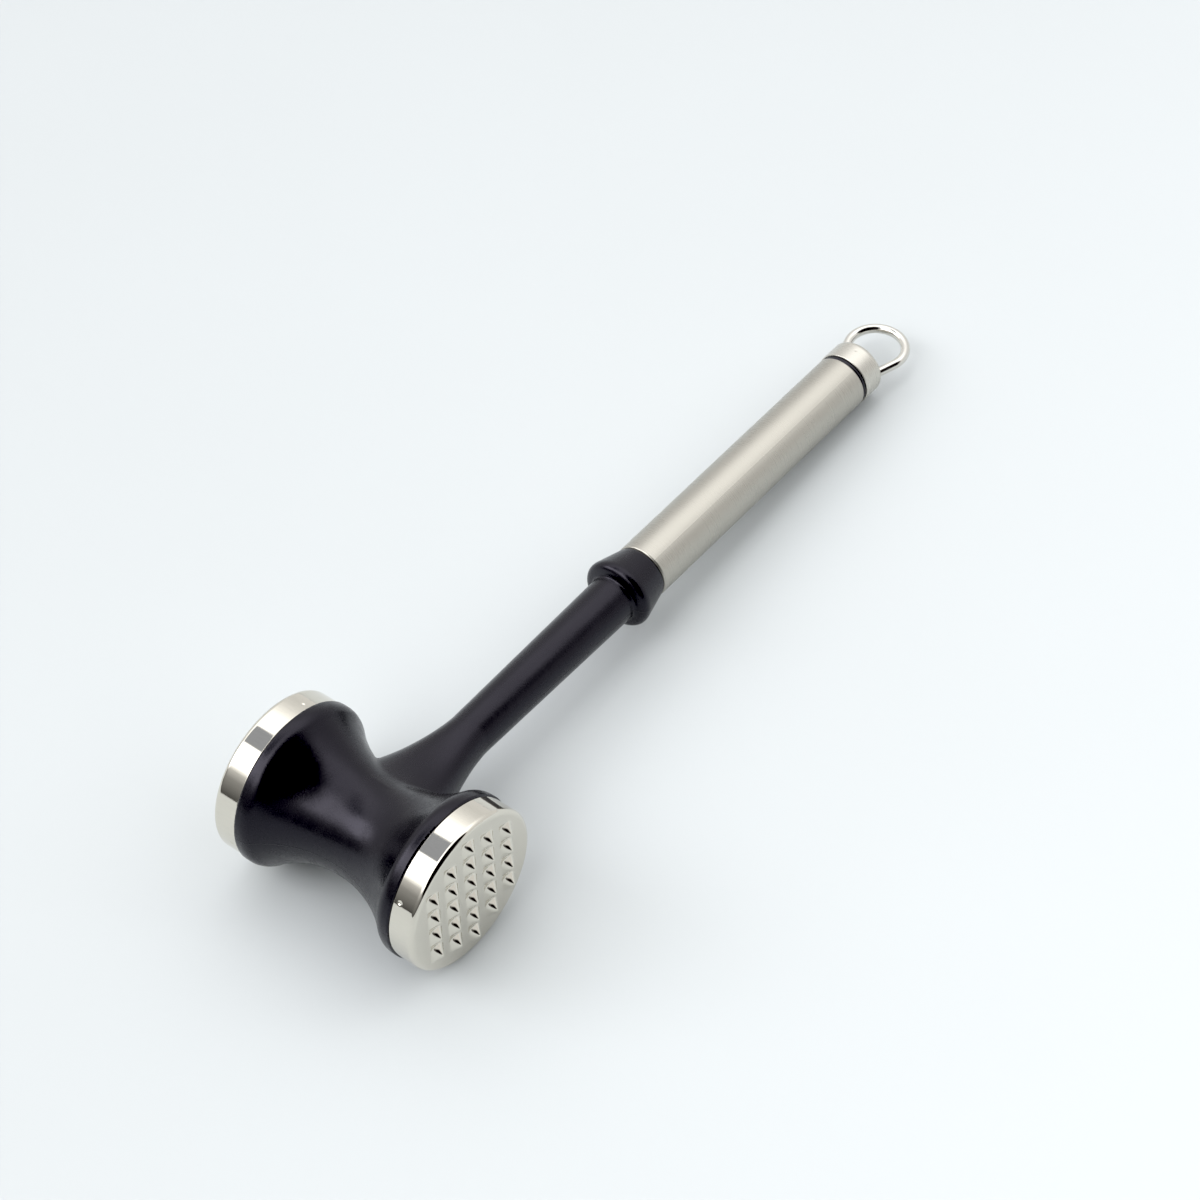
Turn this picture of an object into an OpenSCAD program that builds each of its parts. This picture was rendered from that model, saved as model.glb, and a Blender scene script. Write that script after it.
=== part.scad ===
// Two-sided meat mallet: a weighted, moulded head with two pressed steel
// striking caps, on a steel tube handle with a wire hanging loop.
// The tool lies as it does on a table: both head flanges and the rim of the
// end cap touch z = 0. The toothed face looks along +X, the handle runs
// along +Y and the origin is under the middle of the whole tool.

/* [Head] */
// Outer diameter of the two striking caps
cap_d = 54; // [50:0.5:58]
// Length of the head over both faces, without the teeth
head_len = 77.6; // [74:0.2:84]
// Depth of each striking cap
cap_depth = 8.7; // [7:0.1:10]
// Sheet thickness of the striking caps
cap_t = 1; // [0.6:0.1:1.2]
// Rounding of the outer edge of a striking cap
cap_edge_r = 1.6; // [1.2:0.1:2.4]
// How far the moulded flange stands proud of the caps
flange_proud = 0.4; // [0.2:0.1:0.8]
// Diameter of the narrow waist of the head
waist_d = 33.4; // [30:0.2:36]
// Radius of the hollow curve between waist and flanges
waist_curve_r = 37.3; // [35:0.1:40]
// Rounding of the flanges of the moulding
flange_edge_r = 5; // [4:0.5:6]

/* [Teeth] */
// Height of the pyramid teeth
tooth_h = 2.4; // [1.6:0.1:3]
// Length of a tooth, which is its pitch along the column
tooth_len = 7.9; // [7:0.1:8]
// Width of a tooth across the column
tooth_w = 6.2; // [5:0.1:6.4]
// Distance between columns of teeth
column_pitch = 8.25; // [7.5:0.05:8.5]
// Width of the blunt tip of a tooth
tooth_tip = 0.8; // [0.4:0.1:1.2]

/* [Neck and collar] */
// Diameter of the neck at its thinnest
neck_d = 14.8; // [13:0.2:16]
// Diameter of the neck at the collar
neck_end_d = 16.6; // [15:0.2:17.4]
// Distance from the head axis to where the neck stops flaring
flare_end = 46; // [40:1:54]
// How much wider each side of the neck gets along the head
flare_x = 12; // [8:0.5:14]
// How much taller each side of the neck gets at the head
flare_z = 6; // [2:0.5:7]
// Distance from the head axis to the collar
collar_start = 117; // [110:1:124]
// Length of the collar
collar_len = 14.2; // [12:0.2:17]
// Largest diameter of the collar
collar_d = 23.8; // [21:0.2:26]

/* [Handle] */
// Outer diameter of the handle tube
tube_d = 19.2; // [18.6:0.1:19.6]
// Wall of the handle tube
tube_t = 0.8; // [0.6:0.1:1]
// Length of the handle tube
tube_len = 109; // [95:1:130]
// Thickness of the ring that shows between tube and end cap
ring_t = 1.4; // [1:0.1:2.5]
// Diameter of that ring
ring_d = 18.8; // [18.2:0.1:19.2]
// Outer diameter of the end cap
end_cap_d = 19.6; // [19.4:0.1:20.4]
// Length of the end cap
end_cap_len = 9.2; // [8.6:0.1:12]
// Rounding of the end cap
end_cap_edge_r = 2; // [1.2:0.1:2.4]

/* [Hanging loop] */
// Diameter of the wire
wire_d = 3.2; // [2.6:0.1:3.4]
// Radius of the round part of the loop, to the middle of the wire
loop_r = 9.8; // [9:0.1:13]
// Distance from the end cap to the centre of the round part
loop_reach = 9.9; // [9:0.1:13]
// Distance between the legs where they leave the end cap
leg_gap = 14.2; // [13.6:0.1:14.4]

/* [Inside] */
// Diameter of the steel core of the head
core_d = 22; // [16:0.5:24]
// Diameter of the tie rod
rod_d = 6; // [5:0.5:7]
// Diameter of the threaded rear end of the tie rod
rod_thread_d = 5; // [4:0.5:5]
// Play between parts that slide into each other
play = 0.1; // [0.05:0.05:0.2]

/* [Hidden] */
$fn = 96;

cut = 0.5;

cap_r = cap_d / 2;
face_x = head_len / 2;
cap_open_x = face_x - cap_depth;
flange_r = cap_r + flange_proud;
waist_r = waist_d / 2;
waist_centre_r = waist_r + waist_curve_r;
flange_arc_r = flange_r - flange_edge_r;
curve_gap = waist_curve_r + flange_edge_r;
flange_arc_x = sqrt(pow(curve_gap, 2) - pow(waist_centre_r - flange_arc_r, 2));
spigot_r = cap_r - cap_t - play;
spigot_x = face_x - cap_t;
spigot_chamfer = 1;

crimp_count = 3;
crimp_r = 0.9;
crimp_depth = 0.35;
crimp_from_edge = 2.2;
toothed_crimp_turn = 0;
smooth_crimp_turn = 20;

column_counts = [4, 5, 6, 5, 4];

collar_end = collar_start + collar_len;
tube_r = tube_d / 2;
tube_bore_r = tube_r - tube_t;
tube_end = collar_end + tube_len;
ring_end = tube_end + ring_t;
end_cap_r = end_cap_d / 2;
end_cap_t = 0.7;
end_y = ring_end + end_cap_len;
plug_r = tube_bore_r - play;
front_spigot_len = 18;
plug_front_len = 16;
end_cap_bore_r = end_cap_r - end_cap_t;
plug_rear_r = end_cap_bore_r - play;
plug_rear_end = end_y - end_cap_t - 1.6;

core_r = core_d / 2;
rod_start = 3;
rod_r = rod_d / 2;
rod_thread_r = rod_thread_d / 2;
rod_shoulder_y = tube_end - 4;
washer_r = 5;
washer_t = 1;
nut_flats = 8;
nut_t = 2.7;
pocket_r = washer_r + 2 * play;
pocket_floor_y = plug_rear_end - washer_t - nut_t;
rod_end = plug_rear_end + 0.6;
thread_chamfer = 0.5;

wire_r = wire_d / 2;
leg_x = leg_gap / 2;
loop_centre_y = end_y + loop_reach;
// A short bend, tangent to both, turns each straight leg into the round part
bend_r = 3;
bend_x = leg_x + bend_r;
bend_turn = acos(bend_x / (loop_r + bend_r));
bend_y = loop_centre_y - (loop_r + bend_r) * sin(bend_turn);
leg_end_y = pocket_floor_y;

// Resting tilt: the flange circle and the rounded rim of the end cap share
// one tangent plane, which becomes z = 0
rim_y = end_y - end_cap_edge_r;
rim_r = end_cap_r - end_cap_edge_r;
rest_tilt = asin((flange_r - end_cap_edge_r) / sqrt(pow(rim_y, 2) + pow(rim_r, 2)))
    - atan2(rim_r, rim_y);
rest_y_max = (loop_centre_y + loop_r) * cos(rest_tilt) + wire_r;
rest_offset = [-tooth_h / 2, (flange_r - rest_y_max) / 2, flange_r];

// Steps of the curves
lip_steps = 6;
waist_steps = 12;
lip_turn = acos((waist_centre_r - flange_arc_r) / curve_gap);

// Sides of the wire, and the steps of its bends and of the round part
wire_sides = 16;
bend_steps = 5;
round_steps = 38;
round_step = (180 + 2 * bend_turn) / round_steps;

// Neck: elliptical rings from inside the head to inside the collar
flare_rings = 22;
neck_sides = 40;
neck_from = 6;
flare_power_x = 1.6;
flare_power_z = 3;
collar_shoulder = 2;

// Puts a part drawn in the tool's own axes into its resting place
module lay_down() {
    translate(rest_offset)
        rotate([-rest_tilt, 0, 0])
            children();
}

// Turns a profile drawn about Z into one about the head axis
module along_head() {
    rotate([0, 90, 0])
        children();
}

// Turns a profile drawn about Z into one about the handle axis
module along_handle() {
    rotate([-90, 0, 0])
        children();
}

// Closed skin over rings of points that follow each other
module loft(rings) {
    last = len(rings) - 1;
    count = len(rings[0]);
    front = [for (j = [count - 1:-1:0]) j];
    back = [for (j = [0:count - 1]) last * count + j];
    sides = [for (i = [0:last - 1], j = [0:count - 1])
        let (k = (j + 1) % count, a = i * count, b = a + count)
        [a + j, a + k, b + k, b + j]];
    polyhedron([for (ring = rings) each ring], concat([front], [back], sides));
}

// Points on a circle, as [radius, place along the axis]
function arc_points(centre_r, centre_x, r, from, to, count) = [for (i = [0:count])
    let (a = from + (to - from) * i / count)
    [centre_r + r * cos(a), centre_x + r * sin(a)]];

// Outline of the spool with the spigots that fill the caps: radius along X,
// head axis along Y
module spool_profile() {
    spigot = [
        [0, spigot_x],
        [spigot_r - spigot_chamfer, spigot_x],
        [spigot_r, spigot_x - spigot_chamfer],
        [spigot_r, cap_open_x],
        [flange_r, cap_open_x]
    ];
    lip = arc_points(flange_arc_r, flange_arc_x, flange_edge_r, 0, -lip_turn, lip_steps);
    waist = arc_points(waist_centre_r, 0, waist_curve_r, 180 - lip_turn, 180, waist_steps);
    half = concat(spigot, lip, [for (i = [1:waist_steps]) waist[i]]);
    other_half = [for (i = [len(half) - 2:-1:0]) [half[i][0], -half[i][1]]];
    polygon(concat(half, other_half));
}

function flare_left(y) = max(0, (flare_end - y) / (flare_end - neck_from));
function round_half(y) = neck_d / 2
    + (neck_end_d - neck_d) / 2 * max(0, (y - flare_end) / (collar_start - flare_end));
function neck_half_x(y) = round_half(y) + flare_x * pow(flare_left(y), flare_power_x);
function neck_half_z(y) = round_half(y) + flare_z * pow(flare_left(y), flare_power_z);
function neck_ring(y) = [for (j = [0:neck_sides - 1])
    let (a = 360 * j / neck_sides)
    [neck_half_x(y) * cos(a), y, neck_half_z(y) * sin(a)]];

// Neck: a wide fishtail at the head that turns into a round bar
module neck() {
    rings = concat(
        [for (i = [0:flare_rings - 1]) neck_from + (flare_end - neck_from) * i / flare_rings],
        [flare_end, collar_start + collar_len / 2]);
    loft([for (y = rings) neck_ring(y)]);
}

// Collar and the spigot that enters the tube
module collar() {
    profile = [
        [0, collar_start],
        [collar_d / 2 - collar_shoulder, collar_start],
        [collar_d / 2 - 0.3 * collar_shoulder, collar_start + 0.6 * collar_shoulder],
        [collar_d / 2, collar_start + 1.5 * collar_shoulder],
        [collar_d / 2, collar_start + 2 * collar_shoulder],
        [tube_r, collar_end],
        [plug_r, collar_end],
        [plug_r, collar_end + front_spigot_len - spigot_chamfer],
        [plug_r - spigot_chamfer, collar_end + front_spigot_len],
        [0, collar_end + front_spigot_len]
    ];
    along_handle()
        rotate_extrude()
            polygon(profile);
}

module head_moulding() {
    color([0.17, 0.17, 0.2])
        lay_down()
            difference() {
                union() {
                    along_head()
                        rotate_extrude()
                            spool_profile();
                    neck();
                    collar();
                }
                along_head()
                    cylinder(r = core_r + play, h = head_len, center = true);
                along_handle()
                    cylinder(r = rod_r + play, h = collar_end + front_spigot_len + cut);
            }
}

// Pressed cup about Z with its open end at z = 0 and its face at z = depth
module cup(r, depth, edge_r, t) {
    difference() {
        rotate_extrude() {
            square([r, depth - edge_r]);
            square([r - edge_r, depth]);
            translate([r - edge_r, depth - edge_r])
                circle(edge_r);
        }
        translate([0, 0, -cut])
            cylinder(r = r - t, h = depth - t + cut);
    }
}

// Small dents round a cap that lock it onto the part below
module crimps(r, z, turn) {
    for (i = [0:crimp_count - 1])
        rotate([0, 0, turn + 360 * i / crimp_count])
            translate([r + crimp_r - crimp_depth, 0, z])
                sphere(crimp_r);
}

// One pyramid with a blunt tip, standing on z = 0 with its length along Y
module tooth() {
    sink = cap_t / 2;
    w = tooth_w / 2;
    l = tooth_len / 2;
    t = tooth_tip / 2;
    points = [
        [-w, -l, -sink], [w, -l, -sink], [w, l, -sink], [-w, l, -sink],
        [-w, -l, 0], [w, -l, 0], [w, l, 0], [-w, l, 0],
        [-t, -t, tooth_h], [t, -t, tooth_h], [t, t, tooth_h], [-t, t, tooth_h]
    ];
    faces = [
        [0, 1, 2, 3], [4, 5, 1, 0], [5, 6, 2, 1], [6, 7, 3, 2], [7, 4, 0, 3],
        [8, 9, 5, 4], [9, 10, 6, 5], [10, 11, 7, 6], [11, 8, 4, 7], [11, 10, 9, 8]
    ];
    polyhedron(points, faces);
}

// Staggered columns of teeth: columns run along Z of the tool, and the
// columns follow each other along the handle
module teeth() {
    for (c = [0:len(column_counts) - 1])
        for (i = [0:column_counts[c] - 1])
            translate([
                0,
                (c - (len(column_counts) - 1) / 2) * column_pitch,
                (i - (column_counts[c] - 1) / 2) * tooth_len
            ])
                rotate([90, 0, 90])
                    tooth();
}

module striking_cap(turn) {
    difference() {
        cup(cap_r, cap_depth, cap_edge_r, cap_t);
        crimps(cap_r, crimp_from_edge, turn);
    }
}

module toothed_cap() {
    color([0.8, 0.79, 0.76])
        lay_down() {
            translate([cap_open_x, 0, 0])
                along_head()
                    striking_cap(toothed_crimp_turn);
            translate([face_x, 0, 0])
                teeth();
        }
}

module smooth_cap() {
    color([0.8, 0.79, 0.76])
        lay_down()
            translate([-cap_open_x, 0, 0])
                rotate([0, -90, 0])
                    striking_cap(smooth_crimp_turn);
}

module head_core() {
    color([0.5, 0.5, 0.52])
        lay_down()
            difference() {
                along_head()
                    cylinder(r = core_r, h = 2 * spigot_x, center = true);
                translate([0, rod_start, 0])
                    along_handle()
                        cylinder(r = rod_r, h = core_r);
            }
}

module tie_rod() {
    profile = [
        [0, rod_start],
        [rod_r - thread_chamfer, rod_start],
        [rod_r, rod_start + thread_chamfer],
        [rod_r, rod_shoulder_y],
        [rod_thread_r, rod_shoulder_y],
        [rod_thread_r, rod_end - thread_chamfer],
        [rod_thread_r - thread_chamfer, rod_end],
        [0, rod_end]
    ];
    color([0.62, 0.62, 0.64])
        lay_down()
            along_handle()
                rotate_extrude()
                    polygon(profile);
}

module handle_tube() {
    color([0.84, 0.83, 0.8])
        lay_down()
            translate([0, collar_end, 0])
                along_handle()
                    difference() {
                        cylinder(r = tube_r, h = tube_len);
                        translate([0, 0, -cut])
                            cylinder(r = tube_bore_r, h = tube_len + 2 * cut);
                    }
}

module rear_plug() {
    color([0.12, 0.12, 0.14])
        lay_down()
            difference() {
                along_handle() {
                    translate([0, 0, tube_end - plug_front_len])
                        cylinder(r = plug_r, h = plug_front_len);
                    translate([0, 0, tube_end])
                        cylinder(r = ring_d / 2, h = ring_t);
                    translate([0, 0, ring_end])
                        cylinder(r = plug_rear_r, h = plug_rear_end - ring_end);
                }
                along_handle() {
                    translate([0, 0, tube_end - plug_front_len - cut])
                        cylinder(r = rod_r + play, h = rod_shoulder_y - tube_end + plug_front_len + cut);
                    translate([0, 0, rod_shoulder_y - cut])
                        cylinder(r = rod_thread_r + play, h = end_y - rod_shoulder_y);
                    translate([0, 0, pocket_floor_y])
                        cylinder(r = pocket_r, h = end_y - pocket_floor_y);
                }
                for (side = [-1, 1])
                    translate([side * leg_x, leg_end_y, 0])
                        along_handle()
                            cylinder(r = wire_r, h = end_y - leg_end_y);
            }
}

module rod_washer() {
    color([0.7, 0.7, 0.72])
        lay_down()
            translate([0, pocket_floor_y, 0])
                along_handle()
                    difference() {
                        cylinder(r = washer_r, h = washer_t);
                        translate([0, 0, -cut])
                            cylinder(r = rod_thread_r + play, h = washer_t + 2 * cut);
                    }
}

module rod_nut() {
    color([0.66, 0.66, 0.68])
        lay_down()
            translate([0, pocket_floor_y + washer_t, 0])
                along_handle()
                    difference() {
                        rotate([0, 0, 30])
                            cylinder(r = nut_flats / 2 / cos(30), h = nut_t, $fn = 6);
                        translate([0, 0, -cut])
                            cylinder(r = rod_thread_r, h = nut_t + 2 * cut);
                    }
}

module end_cap() {
    color([0.86, 0.84, 0.8])
        lay_down()
            difference() {
                translate([0, ring_end, 0])
                    along_handle()
                        cup(end_cap_r, end_cap_len, end_cap_edge_r, end_cap_t);
                leg_holes();
            }
}

// Bores of the wire legs through the end cap
module leg_holes() {
    for (side = [-1, 1])
        translate([side * leg_x, end_y - end_cap_t - cut, 0])
            along_handle()
                cylinder(r = wire_r, h = end_cap_t + 2 * cut);
}

// Ring of points round the wire at x, y, where the wire runs in the direction heading
function wire_ring(x, y, heading) = [for (j = [0:wire_sides - 1])
    let (a = 360 * j / wire_sides, out = wire_r * cos(a))
    [x + out * sin(heading), y - out * cos(heading), wire_r * sin(a)]];

// Stations of the wire, as [x, y, heading], on a circle about a centre
function wire_arc(x, y, r, from, to, steps, heading) = [for (i = [0:steps])
    let (a = from + (to - from) * i / steps)
    [x + r * cos(a), y + r * sin(a), a + heading]];

module hanging_loop() {
    stations = concat(
        [[leg_x, leg_end_y, 90]],
        wire_arc(bend_x, bend_y, bend_r, 180, 180 - bend_turn, bend_steps, -90),
        wire_arc(0, loop_centre_y, loop_r, round_step - bend_turn,
            180 + bend_turn - round_step, round_steps - 2, 90),
        wire_arc(-bend_x, bend_y, bend_r, bend_turn, 0, bend_steps, -90),
        [[-leg_x, leg_end_y, -90]]);
    color([0.77, 0.76, 0.72])
        lay_down()
            loft([for (s = stations) wire_ring(s[0], s[1], s[2])]);
}

head_moulding();
toothed_cap();
smooth_cap();
head_core();
tie_rod();
handle_tube();
rear_plug();
rod_washer();
rod_nut();
end_cap();
hanging_loop();
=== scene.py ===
import math

import bpy
import numpy as np
from mathutils import Matrix, Quaternion, Vector


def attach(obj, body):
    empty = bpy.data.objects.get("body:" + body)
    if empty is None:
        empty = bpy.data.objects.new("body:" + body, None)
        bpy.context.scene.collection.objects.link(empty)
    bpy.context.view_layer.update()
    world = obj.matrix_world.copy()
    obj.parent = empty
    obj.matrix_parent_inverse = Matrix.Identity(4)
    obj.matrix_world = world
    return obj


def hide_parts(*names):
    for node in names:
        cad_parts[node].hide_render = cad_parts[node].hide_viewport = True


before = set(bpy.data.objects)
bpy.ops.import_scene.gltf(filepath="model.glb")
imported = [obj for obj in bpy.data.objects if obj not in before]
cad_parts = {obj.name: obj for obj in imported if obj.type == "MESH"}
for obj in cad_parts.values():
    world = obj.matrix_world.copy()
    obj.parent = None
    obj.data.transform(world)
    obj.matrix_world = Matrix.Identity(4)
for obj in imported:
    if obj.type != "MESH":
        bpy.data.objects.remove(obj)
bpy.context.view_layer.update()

# ---------------------------------------------------------------------------
# Sizes, in millimetres, in the tool's own axes: the origin is where the head
# axis crosses the handle axis, X runs out of the toothed face, Y along the
# handle and Z up. Most are driving dimensions of the CAD part. The teeth, the
# flare of the neck in height and the rear radius of the collar are set here.
# ---------------------------------------------------------------------------
MM = 0.001

CAP_R = 27.0
CAP_T = 1.0
CAP_EDGE_R = 1.6
FACE_X = 38.8
CAP_OPEN_X = 30.1
CRIMP_COUNT = 3
TOOTHED_CRIMP_TURN = 30.0
SMOOTH_CRIMP_TURN = 70.0
CRIMP_FROM_EDGE = 2.2
CRIMP_R = 0.95
CRIMP_DEPTH = 0.3

FLANGE_R = 27.4
FLANGE_EDGE_R = 5.0
FLANGE_RIM_R = 0.5
WAIST_R = 16.7
WAIST_CURVE_R = 37.3
SPIGOT_R = 25.9
SPIGOT_X = 37.8
CORE_BORE_R = 11.1
ROD_BORE_R = 3.1

TOOTH_H = 2.4
TOOTH_LEN = 7.9
COLUMN_PITCH = 8.25
COLUMN_COUNTS = (4, 5, 6, 5, 4)
VISIBLE_TOOTH_H = 2.38
TOOTH_HALF_W = 2.75
TOOTH_HALF_LEN = 3.35
TOOTH_DRAW = 1.15
TIP_ROUND = 0.08
RIDGE_ROUND = 0.6

NECK_R = 7.4
NECK_END_R = 8.3
FLARE_END = 46.0
FLARE_X = 12.0
FLARE_Z = 8.0
FLARE_FROM = 6.0

COLLAR_START = 117.0
COLLAR_R = 11.9
COLLAR_FULL_Y = 121.0
TUBE_START = 131.2
TUBE_END = 240.2
TUBE_R = 9.6
TUBE_BORE_R = 8.8
TUBE_LIP_R = 0.6
COLLAR_END_R = 9.3
PLUG_R = 8.7
FRONT_SPIGOT_LEN = 18.0

RING_T = 1.4
RING_R = 9.4
PLUG_FRONT_LEN = 16.0
PLUG_REAR_R = 9.0
PLUG_REAR_LEN = 6.9
POCKET_R = 5.2
POCKET_DEPTH = 3.7
THREAD_BORE_R = 2.6
THREAD_BORE_START = 236.2

END_CAP_R = 9.8
END_CAP_LEN = 9.2
END_CAP_T = 0.7
END_CAP_EDGE_R = 2.0

WIRE_R = 1.6
LOOP_R = 9.8
LOOP_REACH = 9.9
LEG_X = 7.1
LEG_IN = 6.0

RING_END = TUBE_END + RING_T
END_Y = RING_END + END_CAP_LEN
LOOP_Y = END_Y + LOOP_REACH

# The tool lies on the flanges of the head and on the rim of its end cap
rim_y = END_Y - END_CAP_EDGE_R
rim_r = END_CAP_R - END_CAP_EDGE_R
REST_TILT = math.asin((FLANGE_R - END_CAP_EDGE_R) / math.hypot(rim_y, rim_r)) - math.atan2(rim_r, rim_y)
rest_y_max = (LOOP_Y + LOOP_R) * math.cos(REST_TILT) + WIRE_R
REST_PLACE = Vector((-TOOTH_H / 2, (FLANGE_R - rest_y_max) / 2, FLANGE_R)) * MM
LAY_DOWN = Matrix.Translation(REST_PLACE) @ Matrix.Rotation(-REST_TILT, 4, "X")

# Steps of the round shapes
ROUND_STEPS = 256
FILLET_STEPS = 8
CORNER_STEPS = 10
WALL_STEPS = 32
FACE_CELLS = 280
WIRE_SIDES = 32


# ---------------------------------------------------------------------------
# Mesh tools
# ---------------------------------------------------------------------------
def rounded(corners):
    """An outline from corners (radius, along, fillet), each fillet an arc."""
    points = []
    for i, (radius, along, fillet) in enumerate(corners):
        here = Vector((radius, along))
        if not fillet:
            points.append(here)
            continue
        back = (Vector(corners[i - 1][:2]) - here).normalized()
        on = (Vector(corners[(i + 1) % len(corners)][:2]) - here).normalized()
        half = back.angle(on) / 2
        centre = here + (back + on).normalized() * (fillet / math.sin(half))
        first = here + back * (fillet / math.tan(half)) - centre
        last = here + on * (fillet / math.tan(half)) - centre
        for step in range(FILLET_STEPS + 1):
            t = step / FILLET_STEPS
            points.append(centre + (first * (1 - t) + last * t).normalized() * fillet)
    return points


def divided(points, longest):
    """The outline with its long stretches cut into pieces of at most longest."""
    out = []
    for a, b in zip(points, points[1:] + points[:1]):
        count = max(1, math.ceil((b - a).length / longest))
        out += [a.lerp(b, k / count) for k in range(count)]
    return out


def lathe(outline, axis, steps=ROUND_STEPS):
    """Vertices and faces of a closed outline turned about the head or handle axis."""
    angles = [2 * math.pi * s / steps for s in range(steps)]
    if axis == "head":
        verts = [(p.y, p.x * math.cos(a), p.x * math.sin(a)) for p in outline for a in angles]
    else:
        verts = [(p.x * math.sin(a), p.y, p.x * math.cos(a)) for p in outline for a in angles]
    faces = []
    for i in range(len(outline)):
        j = (i + 1) % len(outline)
        for s in range(steps):
            t = (s + 1) % steps
            faces.append((i * steps + s, i * steps + t, j * steps + t, j * steps + s))
    return verts, faces


def sweep(stations, radius, sides):
    """A closed wire through stations (x, y, heading) in the XY plane."""
    verts = []
    for x, y, heading in stations:
        for s in range(sides):
            a = 2 * math.pi * s / sides
            out = radius * math.cos(a)
            verts.append((x + out * math.sin(heading), y - out * math.cos(heading), radius * math.sin(a)))
    faces = []
    for i in range(len(stations) - 1):
        for s in range(sides):
            t = (s + 1) % sides
            faces.append((i * sides + s, i * sides + t, (i + 1) * sides + t, (i + 1) * sides + s))
    faces.append(tuple(range(sides - 1, -1, -1)))
    faces.append(tuple((len(stations) - 1) * sides + s for s in range(sides)))
    return verts, faces


def dent(points, centre, radius, depth, inward):
    """Presses a round dimple into an array of points."""
    distance = np.linalg.norm(points - np.array(centre), axis=1)
    near = distance < radius
    amount = depth * np.cos(np.clip(distance / radius, 0, 1) * math.pi / 2) ** 2
    points[near] += np.outer(amount[near], inward)


def piece(name, verts, faces, material, nodes, sharp=35.0):
    """Makes a piece of the tool from millimetres in the tool's own axes."""
    mesh = bpy.data.meshes.new(name)
    mesh.from_pydata((np.array(verts, float) * MM).tolist(), [], faces)
    mesh.update()
    mesh.polygons.foreach_set("use_smooth", [True] * len(mesh.polygons))
    mesh.set_sharp_from_angle(angle=math.radians(sharp))
    mesh.materials.append(material)
    obj = bpy.data.objects.new(name, mesh)
    bpy.context.scene.collection.objects.link(obj)
    obj.matrix_world = LAY_DOWN
    weighted = obj.modifiers.new("flat_faces_stay_flat", "WEIGHTED_NORMAL")
    weighted.keep_sharp = True
    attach(obj, "root")
    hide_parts(*nodes)
    return obj


# ---------------------------------------------------------------------------
# Material tools. Lengths in materials are in metres.
# ---------------------------------------------------------------------------
SEAM_HALF_WIDTH = 0.00022
WELD_X = 0.005
WELD_HALF_WIDTH = 0.00025


class Nodes:
    """A short way to write a node tree."""

    def __init__(self, tree):
        self.tree = tree
        tree.nodes.clear()

    def add(self, kind, settings=None, **inputs):
        node = self.tree.nodes.new(kind)
        for key, value in (settings or {}).items():
            setattr(node, key, value)
        for key, value in inputs.items():
            self.put(node, key.replace("_", " "), value)
        return node

    def put(self, node, key, value):
        socket = node.inputs[int(key)] if key.isdigit() else node.inputs[key]
        if isinstance(value, bpy.types.NodeSocket):
            self.tree.links.new(value, socket)
        else:
            socket.default_value = value

    def math(self, operation, a, b=0.0, clamp=False):
        node = self.add("ShaderNodeMath", {"operation": operation, "use_clamp": clamp})
        self.put(node, "0", a)
        self.put(node, "1", b)
        return node.outputs[0]

    def blend(self, factor, first, second):
        node = self.add("ShaderNodeMix", {"data_type": "RGBA"})
        for key, value in (("0", factor), ("6", first), ("7", second)):
            self.put(node, key, value)
        return node.outputs[2]

    def dot(self, first, second):
        node = self.add("ShaderNodeVectorMath", {"operation": "DOT_PRODUCT"})
        self.put(node, "0", first)
        self.put(node, "1", second)
        return node.outputs["Value"]

    def scaled(self, colour, by):
        node = self.add("ShaderNodeVectorMath", {"operation": "SCALE"})
        self.put(node, "0", colour)
        self.put(node, "Scale", by)
        return node.outputs[0]

    def ramp(self, factor, stops):
        node = self.add("ShaderNodeValToRGB", Fac=factor)
        elements = node.color_ramp.elements
        while len(elements) < len(stops):
            elements.new(0.5)
        for element, (place, colour) in zip(elements, stops):
            element.position = place
            element.color = (*colour, 1.0)
        return node.outputs["Color"]

    def span(self, value, low, high, to_low, to_high, smooth=False):
        node = self.add("ShaderNodeMapRange")
        node.interpolation_type = "SMOOTHSTEP" if smooth else "LINEAR"
        for key, number in zip(("Value", "From Min", "From Max", "To Min", "To Max"),
                               (value, low, high, to_low, to_high)):
            self.put(node, key, number)
        return node.outputs["Result"]

    def noise(self, size, detail=2.0, roughness=0.5, stretch=(1, 1, 1)):
        """Noise with features of about size metres, stretched along the tool's axes."""
        place = self.add("ShaderNodeTexCoord").outputs["Object"]
        scaled = self.add("ShaderNodeMapping", Vector=place,
                          Scale=[1 / (size * s) for s in stretch]).outputs["Vector"]
        return self.add("ShaderNodeTexNoise", Vector=scaled, Scale=1.0, Detail=detail,
                        Roughness=roughness).outputs["Fac"]

    def place(self):
        """Outputs X, Y and Z of the point, in metres in the tool's own axes."""
        point = self.add("ShaderNodeTexCoord").outputs["Object"]
        return self.add("ShaderNodeSeparateXYZ", Vector=point).outputs

    def bump(self, height, distance, strength=1.0, normal=None):
        node = self.add("ShaderNodeBump", Strength=strength, Distance=distance, Height=height)
        if normal:
            self.put(node, "Normal", normal)
        return node.outputs["Normal"]


def material(name):
    made = bpy.data.materials.new(name)
    made.use_nodes = True
    nodes = Nodes(made.node_tree)
    shader = nodes.add("ShaderNodeBsdfPrincipled")
    output = nodes.add("ShaderNodeOutputMaterial")
    nodes.tree.links.new(shader.outputs["BSDF"], output.inputs["Surface"])
    return made, nodes, shader


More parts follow.
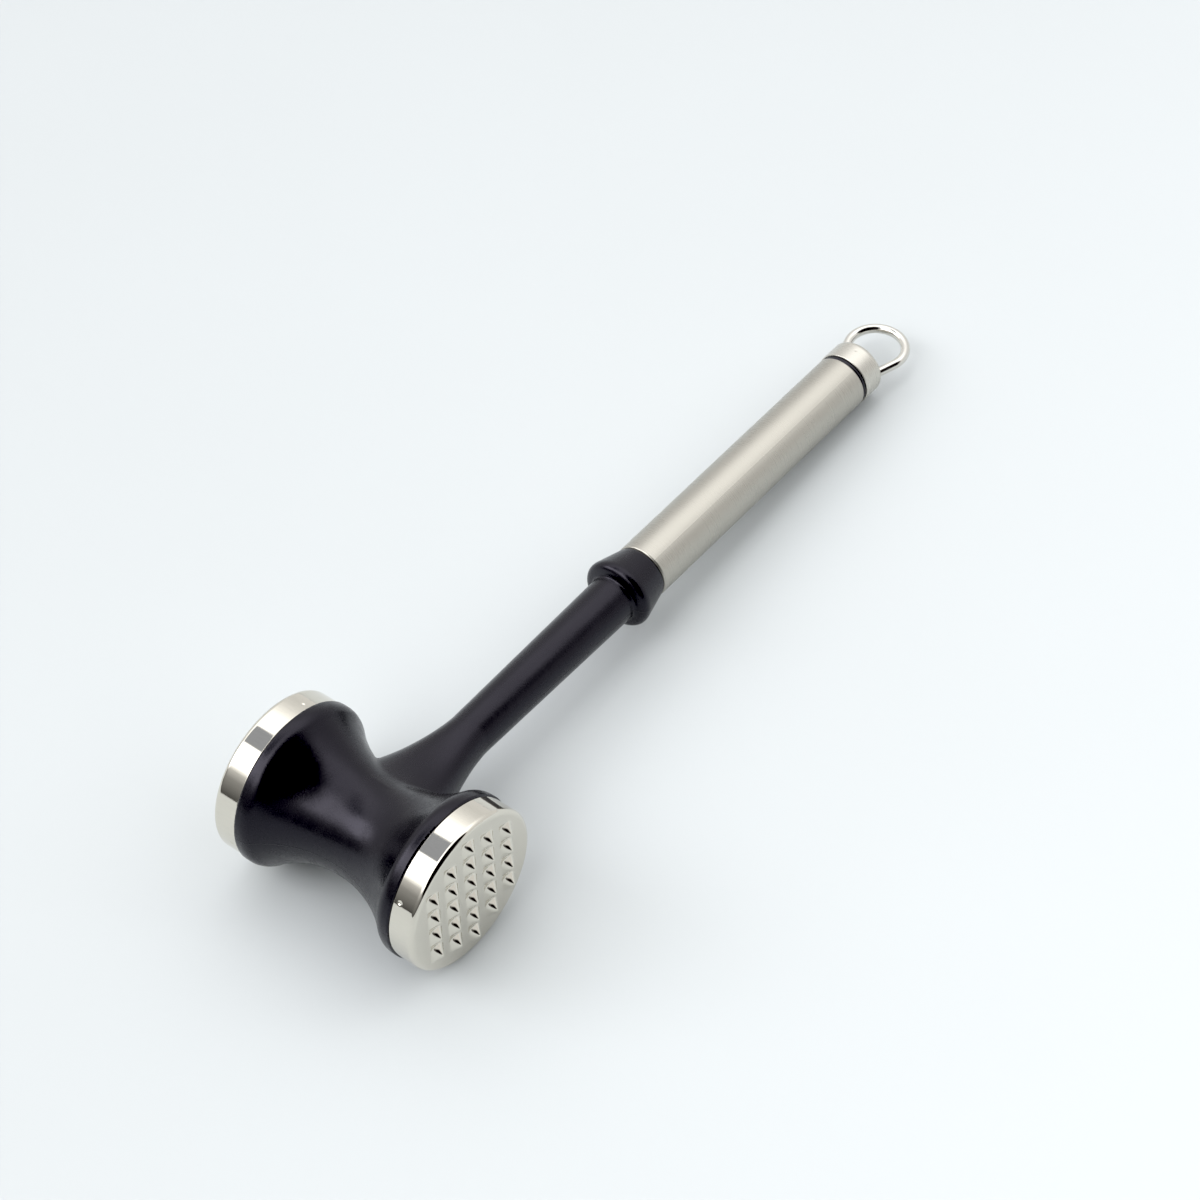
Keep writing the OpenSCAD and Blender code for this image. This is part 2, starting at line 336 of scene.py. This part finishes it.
def black_nylon(name, tint, grain, base_roughness):
    """Moulded black nylon: spark-eroded grain, faint cloudiness, handling marks."""
    made, n, shader = material(name)
    cloud = n.noise(0.012, detail=3)
    fine = n.noise(grain, detail=4, roughness=0.6)
    marks = n.noise(0.0035, detail=3, stretch=(1, 4, 1))
    colour = n.ramp(cloud, [(0.3, [c * 0.75 for c in tint]), (0.7, [c * 1.3 for c in tint])])
    n.put(shader, "Base Color", colour)
    rough = n.math("ADD", n.span(marks, 0.35, 0.7, base_roughness - 0.04, base_roughness + 0.05),
                   n.span(fine, 0.3, 0.7, -0.05, 0.05))
    n.put(shader, "Roughness", rough)
    n.put(shader, "Specular IOR Level", 0.4)
    n.put(shader, "Specular Tint", (0.88, 0.84, 1.0, 1.0))
    height = n.place()[2]
    seam = n.span(n.math("ABSOLUTE", height), 0.0, SEAM_HALF_WIDTH, 1.0, 0.0, smooth=True)
    relief = n.bump(seam, 0.00008, 0.8, n.bump(cloud, 0.0004, 0.3))
    n.put(shader, "Normal", n.bump(fine, 0.00006, 0.45, relief))
    return made


def weld_seam(n, relief):
    """The relief of a tube with the fine ridge of its weld along the upper side."""
    x, _, z = n.place()
    ridge = n.span(n.math("ABSOLUTE", n.math("SUBTRACT", x, WELD_X)),
                   0.0, WELD_HALF_WIDTH, 1.0, 0.0, smooth=True)
    ridge = n.math("MULTIPLY", ridge, n.span(z, 0.0, 0.001, 0.0, 1.0))
    return n.bump(ridge, 0.00005, 0.6, relief)


def steel(name, tint, roughness, grain_size, stretch, grain_depth,
          anisotropy=0.0, tangent=None, welded=False):
    """Stainless steel with a fine grain and faint handling marks."""
    made, n, shader = material(name)
    grain = n.noise(grain_size, detail=5, roughness=0.65, stretch=stretch)
    smear = n.noise(0.009, detail=3)
    colour = n.ramp(n.math("ADD", n.math("MULTIPLY", grain, 0.7), n.math("MULTIPLY", smear, 0.3)),
                    [(0.35, [c * 0.95 for c in tint]), (0.65, tint)])
    n.put(shader, "Base Color", colour)
    n.put(shader, "Metallic", 1.0)
    rough = n.math("ADD", n.span(grain, 0.3, 0.7, roughness * 0.88, roughness * 1.12),
                   n.span(smear, 0.35, 0.7, -0.01, 0.015))
    n.put(shader, "Roughness", rough)
    n.put(shader, "Anisotropic", anisotropy)
    if tangent:
        axis = n.add("ShaderNodeTangent", {"direction_type": "RADIAL", "axis": tangent})
        n.put(shader, "Tangent", axis.outputs[0])
    relief = n.bump(grain, grain_depth, 0.5)
    n.put(shader, "Normal", weld_seam(n, relief) if welded else relief)
    return made


NYLON = black_nylon("black_nylon", (0.002, 0.0018, 0.0028), 0.0005, 0.25)
RING_NYLON = black_nylon("ring_nylon", (0.004, 0.004, 0.005), 0.0003, 0.22)
CAP_STEEL = steel("cap_steel", (0.7, 0.67, 0.595), 0.05, 0.0004, (8, 1, 1), 0.000004)
TUBE_STEEL = steel("tube_steel", (0.47, 0.452, 0.405), 0.29, 0.00016, (60, 1, 60), 0.000003,
                   anisotropy=0.6, tangent="Y", welded=True)
END_STEEL = steel("end_cap_steel", (0.62, 0.6, 0.545), 0.28, 0.00015, (30, 1, 30), 0.000003)
WIRE_STEEL = steel("wire_steel", (0.7, 0.68, 0.63), 0.14, 0.0004, (1, 1, 6), 0.000004)
INNER_STEEL = steel("turned_steel", (0.6, 0.6, 0.6), 0.35, 0.0005, (1, 1, 1), 0.00002)


# ---------------------------------------------------------------------------
# Head moulding: fields that are negative inside, joined smoothly and skinned
# ---------------------------------------------------------------------------
def soft_min(a, b, k):
    h = np.maximum(k - np.abs(a - b), 0) / k
    return np.minimum(a, b) - h * h * k / 4


def soft_max(a, b, k):
    return -soft_min(-a, -b, k)


def spool_field(x, y, z):
    along = np.abs(x)
    out = np.hypot(y, z)
    lip_r = FLANGE_R - FLANGE_EDGE_R
    waist_centre = WAIST_R + WAIST_CURVE_R
    lip_x = math.sqrt((WAIST_CURVE_R + FLANGE_EDGE_R) ** 2 - (waist_centre - lip_r) ** 2)
    waist = WAIST_CURVE_R - np.hypot(along, waist_centre - out)
    lip = np.hypot(np.minimum(along - lip_x, 0), out - lip_r) - FLANGE_EDGE_R
    lip = np.where(along > lip_x, out - FLANGE_R, lip)
    beyond = along * (waist_centre - lip_r) - (waist_centre - out) * lip_x > 0
    body = soft_max(np.where(beyond, lip, waist), along - CAP_OPEN_X, FLANGE_RIM_R)
    spigot = np.maximum(out - SPIGOT_R, np.maximum(along - SPIGOT_X, CAP_OPEN_X - 2 - along))
    return np.minimum(body, spigot)


def neck_field(x, y, z):
    left = np.clip((FLARE_END - y) / (FLARE_END - FLARE_FROM), 0, 1)
    bar = NECK_R + (NECK_END_R - NECK_R) * np.clip((y - FLARE_END) / (COLLAR_START - FLARE_END), 0, 1)
    half_x = bar + FLARE_X * left ** 1.6
    half_z = bar + FLARE_Z * left ** 3
    power = 2 + 0.9 * left
    size = ((np.abs(x) / half_x) ** power + (np.abs(z) / half_z) ** power) ** (1 / power)
    skin = (size - 1) * np.minimum(half_x, half_z)
    return np.maximum(skin, np.maximum(FLARE_FROM - 2 - y, y - TUBE_START + 1))


def collar_field(x, y, z):
    out = np.hypot(x, z)
    slope = (COLLAR_R - COLLAR_END_R) / (TUBE_START - COLLAR_FULL_Y)
    cone = (out - COLLAR_R + (y - COLLAR_FULL_Y) * slope) / math.hypot(1, slope)
    front = (COLLAR_START - y) + 0.12 * (out - NECK_END_R)
    collar = np.maximum(soft_max(cone, front, 3.4), y - TUBE_START)
    spigot = np.maximum(out - PLUG_R, y - TUBE_START - FRONT_SPIGOT_LEN)
    return np.minimum(collar, np.maximum(spigot, COLLAR_START + 3 - y))


def moulding_field(x, y, z):
    body = soft_min(spool_field(x, y, z), neck_field(x, y, z), 0.8)
    body = soft_min(body, collar_field(x, y, z), 0.9)
    body = np.maximum(body, CORE_BORE_R - np.hypot(y, z))
    return np.maximum(body, np.where(y > 0, ROD_BORE_R - np.hypot(x, z), -ROD_BORE_R))


def surface_net(field, low, high, step):
    """Quads over the zero level of a field, one vertex in each cell it crosses."""
    axes = [np.arange(a, b + step, step) for a, b in zip(low, high)]
    values = field(*np.meshgrid(*axes, indexing="ij"))
    cells = tuple(s - 1 for s in values.shape)
    total = np.zeros(cells + (3,))
    count = np.zeros(cells)
    crossings = []
    for axis in range(3):
        side_a, side_b = (axis + 1) % 3, (axis + 2) % 3
        first = np.take(values, range(cells[axis]), axis)
        second = np.take(values, range(1, cells[axis] + 1), axis)
        cross = (first < 0) != (second < 0)
        share = np.where(cross, first / np.where(cross, first - second, 1), 0)
        crossings.append((cross, first < 0))
        for da in (0, 1):
            for db in (0, 1):
                pick = [slice(None)] * 3
                pick[side_a] = slice(da, da + cells[side_a])
                pick[side_b] = slice(db, db + cells[side_b])
                here = cross[tuple(pick)]
                total[..., axis] += share[tuple(pick)]
                total[..., side_a] += here * da
                total[..., side_b] += here * db
                count += here
    used = count > 0
    index = np.full(cells, -1)
    index[used] = np.arange(used.sum())
    corner = np.stack(np.nonzero(used), 1)
    points = (corner + total[used] / count[used][:, None]) * step + np.array(low)
    faces = []
    for axis, (cross, inside) in enumerate(crossings):
        side_a, side_b = (axis + 1) % 3, (axis + 2) % 3
        edges = np.stack(np.nonzero(cross), 1)
        keep = (edges[:, side_a] > 0) & (edges[:, side_b] > 0)
        keep &= (edges[:, side_a] < cells[side_a]) & (edges[:, side_b] < cells[side_b])
        edges = edges[keep]
        ring = []
        for da, db in ((1, 1), (0, 1), (0, 0), (1, 0)):
            cell = edges.copy()
            cell[:, side_a] -= da
            cell[:, side_b] -= db
            ring.append(index[tuple(cell.T)])
        quads = np.stack(ring, 1)
        outward = inside[tuple(edges.T)]
        faces.append(np.where(outward[:, None], quads, quads[:, ::-1]))
    return points, np.concatenate(faces)


def slope_of(field, points, reach=0.02):
    """Gradient of a field at points."""
    steps = np.eye(3) * reach
    return np.stack([(field(*(points + s).T) - field(*(points - s).T)) / (2 * reach) for s in steps], 1)


def settle(field, points, faces, rounds):
    """Evens out the vertices and puts them back on the zero level."""
    edges = np.concatenate([faces[:, [i, (i + 1) % 4]] for i in range(4)])
    weight = np.bincount(edges.ravel(), minlength=len(points))[:, None]
    for turn in range(rounds):
        if turn < rounds - 2:
            around = np.zeros_like(points)
            np.add.at(around, edges[:, 0], points[edges[:, 1]])
            np.add.at(around, edges[:, 1], points[edges[:, 0]])
            points = points * 0.5 + around / weight * 0.5
        for _ in range(2):
            slope = slope_of(field, points)
            size = np.maximum((slope ** 2).sum(1), 0.05)
            move = slope * (field(*points.T) / size)[:, None]
            points = points - np.clip(move, -0.4, 0.4)
    return points


def head_moulding():
    step = 0.55
    margin = 1.3
    low = (-SPIGOT_X - margin, -FLANGE_R - margin, -FLANGE_R - margin)
    high = (SPIGOT_X + margin, TUBE_START + FRONT_SPIGOT_LEN + margin, FLANGE_R + margin)
    points, faces = surface_net(moulding_field, low, high, step)
    points = settle(moulding_field, points, faces, 5)
    return piece("head_moulding_body", points, faces.tolist(), NYLON, ["head_moulding"], 60)


# ---------------------------------------------------------------------------
# Striking caps
# ---------------------------------------------------------------------------
def tooth_height(y, z):
    """Height of the pressed teeth over the face: drawn-up pyramids with rounded ridges and tips."""
    height = np.zeros_like(y)
    for column, count in enumerate(COLUMN_COUNTS):
        centre_y = (column - (len(COLUMN_COUNTS) - 1) / 2) * COLUMN_PITCH
        for row in range(count):
            centre_z = (row - (count - 1) / 2) * TOOTH_LEN
            across = np.hypot((y - centre_y) / TOOTH_HALF_W, TIP_ROUND)
            along = np.hypot((z - centre_z) / TOOTH_HALF_LEN, TIP_ROUND)
            out = np.clip(soft_max(across, along, RIDGE_ROUND), 0, 1)
            height = np.maximum(height, (1 - out) ** TOOTH_DRAW)
    return height / height.max() * VISIBLE_TOOTH_H


def disc_grid(radius, cells):
    """A square grid of cells mapped onto a disc: points, quads and the rim's indices in order."""
    side = np.linspace(-1, 1, cells + 1)
    a, b = np.meshgrid(side, side, indexing="ij")
    u = a * np.sqrt(1 - b * b / 2) * radius
    v = b * np.sqrt(1 - a * a / 2) * radius
    index = np.arange((cells + 1) ** 2).reshape(cells + 1, cells + 1)
    quads = np.stack([index[:-1, :-1], index[1:, :-1], index[1:, 1:], index[:-1, 1:]], -1).reshape(-1, 4)
    rim = np.concatenate([index[:-1, 0], index[-1, :-1], index[:0:-1, -1], index[0, :0:-1]])
    return u.ravel(), v.ravel(), quads, rim


def striking_cap(name, node, side, toothed, crimp_turn):
    """Pressed cup: a fine face with its teeth, the rolled corner, the wall and the inside."""
    flat_r = CAP_R - CAP_EDGE_R
    u, v, quads, rim = disc_grid(flat_r, FACE_CELLS)
    lift = tooth_height(u, v) if toothed else np.zeros_like(u)
    verts = [np.stack([FACE_X + lift, u, v], 1)]
    corner = [Vector((flat_r + CAP_EDGE_R * math.sin(a), FACE_X - CAP_EDGE_R * (1 - math.cos(a))))
              for a in np.linspace(0, math.pi / 2, CORNER_STEPS + 1)[1:]]
    lip = rounded([(CAP_R, CAP_OPEN_X, 0.28), (CAP_R - CAP_T, CAP_OPEN_X, 0.28),
                   (CAP_R - CAP_T, FACE_X - CAP_T, 0)])
    wall_top = Vector((CAP_R, FACE_X - CAP_EDGE_R))
    wall = [wall_top.lerp(lip[0], k / WALL_STEPS) for k in range(1, WALL_STEPS)]
    outline = corner + wall + lip
    angles = np.arctan2(v[rim], u[rim])
    rings = len(outline)
    count = len(rim)
    for point in outline:
        ring = [np.full(count, point.y), point.x * np.cos(angles), point.x * np.sin(angles)]
        verts.append(np.stack(ring, 1))
    points = np.concatenate(verts)
    first = len(u)
    ring_index = [rim] + [first + i * count + np.arange(count) for i in range(rings)]
    faces = quads.tolist()
    for inner, outer in zip(ring_index, ring_index[1:]):
        faces += np.stack([inner, outer, np.roll(outer, -1), np.roll(inner, -1)], 1).tolist()
    faces.append(ring_index[-1].tolist())
    for i in range(CRIMP_COUNT):
        turn = math.radians(crimp_turn + 360 * i / CRIMP_COUNT)
        out = np.array([0, math.cos(turn), math.sin(turn)])
        spot = out * CAP_R + np.array([CAP_OPEN_X + CRIMP_FROM_EDGE, 0, 0])
        dent(points, spot, CRIMP_R, CRIMP_DEPTH, -out)
    if side < 0:
        points[:, 0] *= -1
        faces = [face[::-1] for face in faces]
    return piece(name, points, faces, CAP_STEEL, [node], 50)


# ---------------------------------------------------------------------------
# Handle
# ---------------------------------------------------------------------------
def handle_tube():
    outline = rounded([
        (TUBE_BORE_R, TUBE_START, 0.1), (TUBE_R, TUBE_START, TUBE_LIP_R),
        (TUBE_R, TUBE_END, TUBE_LIP_R), (TUBE_BORE_R, TUBE_END, 0.1)])
    verts, faces = lathe(divided(outline, 4.0), "handle")
    return piece("handle_tube_shell", verts, faces, TUBE_STEEL, ["handle_tube"])


def rear_plug():
    rear = RING_END + PLUG_REAR_LEN
    outline = rounded([
        (ROD_BORE_R, TUBE_END - PLUG_FRONT_LEN, 0), (PLUG_R, TUBE_END - PLUG_FRONT_LEN, 0.5),
        (PLUG_R, TUBE_END, 0), (RING_R, TUBE_END, 0.45), (RING_R, RING_END, 0.45),
        (PLUG_REAR_R, RING_END, 0), (PLUG_REAR_R, rear, 0.3), (POCKET_R, rear, 0),
        (POCKET_R, rear - POCKET_DEPTH, 0), (THREAD_BORE_R, rear - POCKET_DEPTH, 0),
        (THREAD_BORE_R, THREAD_BORE_START, 0), (ROD_BORE_R, THREAD_BORE_START, 0)])
    verts, faces = lathe(outline, "handle", 128)
    return piece("rear_plug_body", verts, faces, RING_NYLON, ["rear_plug"])


def end_cap():
    outline = rounded([
        (END_CAP_R, RING_END, 0.25), (END_CAP_R, END_Y, END_CAP_EDGE_R), (0.02, END_Y, 0),
        (0.02, END_Y - END_CAP_T, 0),
        (END_CAP_R - END_CAP_T, END_Y - END_CAP_T, END_CAP_EDGE_R - END_CAP_T),
        (END_CAP_R - END_CAP_T, RING_END, 0.2)])
    verts, faces = lathe(divided(outline, 0.35), "handle")
    points = np.array(verts)
    out = np.array([0.1, 0, 1.0]) / math.hypot(0.1, 1)
    dent(points, out * END_CAP_R + np.array([0, RING_END + 5.4, 0]), 0.5, 0.22, -out)
    return piece("end_cap_shell", points, faces, END_STEEL, ["end_cap"])


def hanging_loop():
    """Wire from inside the end cap, straight out along a tangent, round the eye and back."""
    leg_to_centre = math.hypot(LEG_X, LOOP_REACH)
    lean = math.acos(LOOP_R / leg_to_centre) - math.atan2(LOOP_REACH, LEG_X)
    stations = [(LEG_X, END_Y - LEG_IN, math.pi / 2), (LEG_X, END_Y - 1.2, math.pi / 2)]
    for t in np.linspace(0, 1, 7):
        x = LEG_X + (LOOP_R * math.cos(lean) - LEG_X) * t
        y = END_Y + (LOOP_REACH + LOOP_R * math.sin(lean)) * t
        stations.append((x, y, lean + math.pi / 2))
    leg = len(stations)
    for t in np.linspace(0, 1, 131)[1:-1]:
        a = lean + (math.pi - 2 * lean) * t
        stations.append((LOOP_R * math.cos(a), LOOP_Y + LOOP_R * math.sin(a), a + math.pi / 2))
    for x, y, heading in reversed(stations[:leg]):
        stations.append((-x, y, -heading))
    verts, faces = sweep(stations, WIRE_R, WIRE_SIDES)
    return piece("hanging_loop_wire", verts, faces, WIRE_STEEL, ["hanging_loop"])


# ---------------------------------------------------------------------------
# Studio levels: brightness of the room by height (0 level, 1 overhead)
# ---------------------------------------------------------------------------
NEAR_WALL = ((0.0, 0.03), (0.2, 0.07), (0.35, 0.1), (0.49, 0.2), (0.57, 0.5), (0.64, 1.0), (1.0, 1.0))
FAR_WALL = ((0.0, 0.42), (0.24, 0.4), (0.39, 0.44), (0.52, 0.52), (0.64, 0.67), (0.74, 0.9), (1.0, 0.9))
NEAR_CEILING = 1.7
PANEL_NEAR = -0.29
PANEL_FAR = 0.98
PANEL_SKEW = 1.5
PERSON_FROM = (0.7, -0.15, 0.7)
PERSON_EDGE = 0.73
WINDOW_FROM = (-0.67, -0.45, 0.59)
WINDOW_EDGE = 0.95
PANEL_COLOUR = (0.2, 0.21, 0.235, 1.0)
WINDOW_COLOUR = (1.9, 1.9, 1.95, 1.0)
PERSON_COLOUR = (0.006, 0.005, 0.006, 1.0)
ROOM_LEVEL = 2.15
BLACK_LEVEL = 0.011

# Camera: angles in degrees, lengths in metres, lens and sensor in millimetres
CAMERA_HEADING = 42.53
CAMERA_ELEVATION = 50.48
CAMERA_ROLL = 5.74
CAMERA_AIM = (0.0004, -0.0135, 0.0274)
CAMERA_DISTANCE = 1.0577
SENSOR_WIDTH = 36
FOCAL_LENGTH = 101.67


# ---------------------------------------------------------------------------
# Studio: pale floor, soft lights, and the camera at the photo's viewing angle
# ---------------------------------------------------------------------------
def camera():
    heading = math.radians(CAMERA_HEADING)
    elevation = math.radians(CAMERA_ELEVATION)
    forward = Vector((-math.sin(heading) * math.cos(elevation), math.cos(heading) * math.cos(elevation),
                      -math.sin(elevation)))
    data = bpy.data.cameras.new("camera")
    data.sensor_width = SENSOR_WIDTH
    data.lens = FOCAL_LENGTH
    data.clip_start = 0.01
    obj = bpy.data.objects.new("camera", data)
    bpy.context.scene.collection.objects.link(obj)
    obj.location = Vector(CAMERA_AIM) - forward * CAMERA_DISTANCE
    obj.rotation_mode = "QUATERNION"
    obj.rotation_quaternion = Quaternion(forward, math.radians(CAMERA_ROLL)) @ forward.to_track_quat("-Z", "Y")
    bpy.context.scene.camera = obj


def floor():
    made, n, shader = material("pale_floor")
    cloud = n.noise(0.2, detail=2)
    n.put(shader, "Base Color", n.ramp(cloud, [(0.3, (0.53, 0.557, 0.566)), (0.7, (0.54, 0.568, 0.578))]))
    n.put(shader, "Roughness", n.span(cloud, 0.3, 0.7, 0.55, 0.6))
    mesh = bpy.data.meshes.new("floor")
    half = 3.0
    corners = [(-half, -half, 0), (half, -half, 0), (half, half, 0), (-half, half, 0)]
    mesh.from_pydata(corners, [], [(0, 1, 2, 3)])
    mesh.materials.append(made)
    obj = bpy.data.objects.new("floor", mesh)
    bpy.context.scene.collection.objects.link(obj)


def area_light(name, place, aim, size, power, colour):
    data = bpy.data.lights.new(name, "AREA")
    data.shape = "RECTANGLE"
    data.size, data.size_y = size
    data.energy = power
    data.color = colour
    obj = bpy.data.objects.new(name, data)
    bpy.context.scene.collection.objects.link(obj)
    obj.location = place
    obj.rotation_euler = (Vector(aim) - Vector(place)).to_track_quat("-Z", "Y").to_euler()
    obj.visible_camera = False
    obj.visible_glossy = False


def tent():
    """Pale walls, a bright ceiling with a grey panel, a window, and a dark photographer."""
    world = bpy.data.worlds.new("tent")
    bpy.context.scene.world = world
    world.use_nodes = True
    n = Nodes(world.node_tree)
    direction = n.add("ShaderNodeTexCoord").outputs["Generated"]
    x, y, z = n.add("ShaderNodeSeparateXYZ", Vector=direction).outputs
    toward_near = n.math("SUBTRACT", n.math("MULTIPLY", x, 0.45), n.math("MULTIPLY", y, 0.9))
    near = n.span(toward_near, -0.03, 0.25, 0.0, 1.0, smooth=True)
    near_side = n.ramp(z, [(h, (v, v, v)) for h, v in NEAR_WALL])
    far_side = n.ramp(z, [(h, (v, v, v)) for h, v in FAR_WALL])
    room = n.blend(near, far_side, n.scaled(near_side, NEAR_CEILING))
    height = n.math("MAXIMUM", z, 0.02)
    along = n.math("DIVIDE", x, height)
    across = n.math("DIVIDE", y, height)
    skewed = n.math("SUBTRACT", across, n.math("MULTIPLY", along, PANEL_SKEW))
    panel = n.math("MULTIPLY", n.span(along, -0.85, -0.8, 0.0, 1.0), n.span(along, -0.4, -0.35, 1.0, 0.0))
    panel = n.math("MULTIPLY", panel, n.span(across, PANEL_NEAR - 0.03, PANEL_NEAR, 0.0, 1.0))
    panel = n.math("MULTIPLY", panel, n.span(skewed, PANEL_FAR, PANEL_FAR + 0.03, 1.0, 0.0))
    room = n.blend(panel, room, PANEL_COLOUR)
    window = n.span(n.dot(direction, WINDOW_FROM), WINDOW_EDGE, WINDOW_EDGE + 0.03, 0.0, 1.0, smooth=True)
    room = n.blend(window, room, WINDOW_COLOUR)
    shade = n.span(n.dot(direction, PERSON_FROM), PERSON_EDGE, PERSON_EDGE + 0.06, 0.0, 1.0, smooth=True)
    room = n.blend(shade, room, PERSON_COLOUR)
    background = n.add("ShaderNodeBackground", Color=room, Strength=ROOM_LEVEL)
    output = n.add("ShaderNodeOutputWorld")
    n.tree.links.new(background.outputs[0], output.inputs["Surface"])


camera()
floor()
tent()
area_light("left_fill", (-0.8, -0.9, 0.6), (0, 0, 0), (1.0, 0.8), 2.6, (1.0, 1.0, 1.0))
area_light("right_fill", (0.6, 0.1, 0.7), (0, 0, 0), (1.0, 0.8), 4.4, (1.0, 1.0, 1.0))

view = bpy.context.scene.view_settings
view.view_transform = "Standard"
view.look = "None"
view.exposure = 0.0
view.use_curve_mapping = True
view.curve_mapping.black_level = (BLACK_LEVEL,) * 3

head_moulding()
striking_cap("toothed_cap_shell", "toothed_cap", 1, True, TOOTHED_CRIMP_TURN)
striking_cap("smooth_cap_shell", "smooth_cap", -1, False, SMOOTH_CRIMP_TURN)
handle_tube()
rear_plug()
end_cap()
hanging_loop()

for hidden in ("head_core", "tie_rod", "rod_washer", "rod_nut"):
    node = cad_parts[hidden]
    node.data.materials.clear()
    node.data.materials.append(INNER_STEEL)
